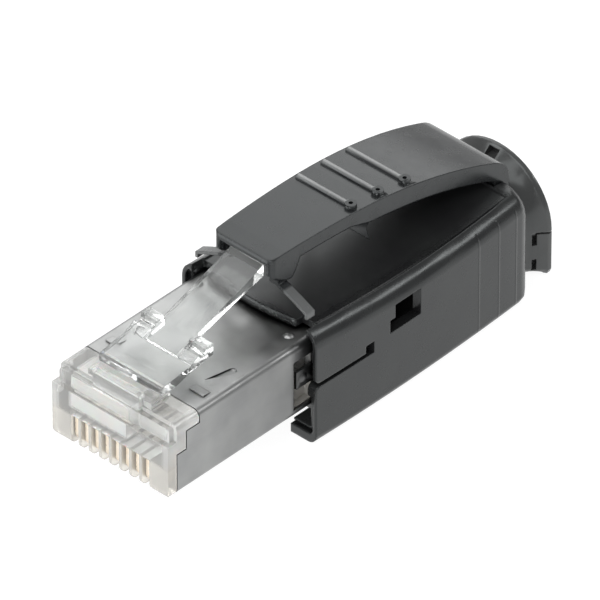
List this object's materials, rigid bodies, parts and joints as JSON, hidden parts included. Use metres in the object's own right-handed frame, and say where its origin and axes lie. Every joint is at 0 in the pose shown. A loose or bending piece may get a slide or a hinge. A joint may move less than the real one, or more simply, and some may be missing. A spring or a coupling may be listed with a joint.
{
  "type": "field termination ethernet plug",
  "caption": "Shielded modular ethernet plug for field termination, with a clear nose, a sprung latch, a black hood with a press lever and a bell-mouthed cable collar.",
  "frame": {"origin": "middle of the underside of the bounding box, at rest", "axes": "+Y from the nose to the cable end, +Z towards the latch and lever, +X to the right seen from the cable end"},
  "size_m": [0.0138, 0.042, 0.0155],
  "materials": {
    "clear_plastic": "clear moulded plastic",
    "milky_plastic": "milky white plastic",
    "contact_gold": "gold plated",
    "nickel_shield": "satin nickel plating",
    "black_plastic": "satin black moulded plastic"
  },
  "bodies": {
    "base": {"plug_housing": "clear_plastic", "load_bar": "milky_plastic", "contact_1": "contact_gold", "contact_2": "contact_gold", "contact_3": "contact_gold", "contact_4": "contact_gold", "contact_5": "contact_gold", "contact_6": "contact_gold", "contact_7": "contact_gold", "contact_8": "contact_gold", "shield": "nickel_shield", "crimp_ferrule": "nickel_shield", "hood": "black_plastic", "cable_collar": "black_plastic"},
    "lever": {"press_lever": "black_plastic"},
    "latch_arm": {"latch": "clear_plastic"}
  },
  "joints": [
    {"name": "lever_press", "type": "hinge", "parent": "base", "child": "lever", "pos_m": [0, 0.01665, 0.0091], "axis": [1, 0, 0], "range_deg": [0, 3.2], "stiffness_Nm_per_rad": 0.004},
    {"name": "latch_flex", "type": "hinge", "parent": "base", "child": "latch_arm", "pos_m": [0, -0.0187, 0.01015], "axis": [-1, 0, 0], "range_deg": [0, 7]}
  ],
  "couplings": [
    {"joint": "latch_flex", "follows": "lever_press", "ratio": 1.87}
  ]
}
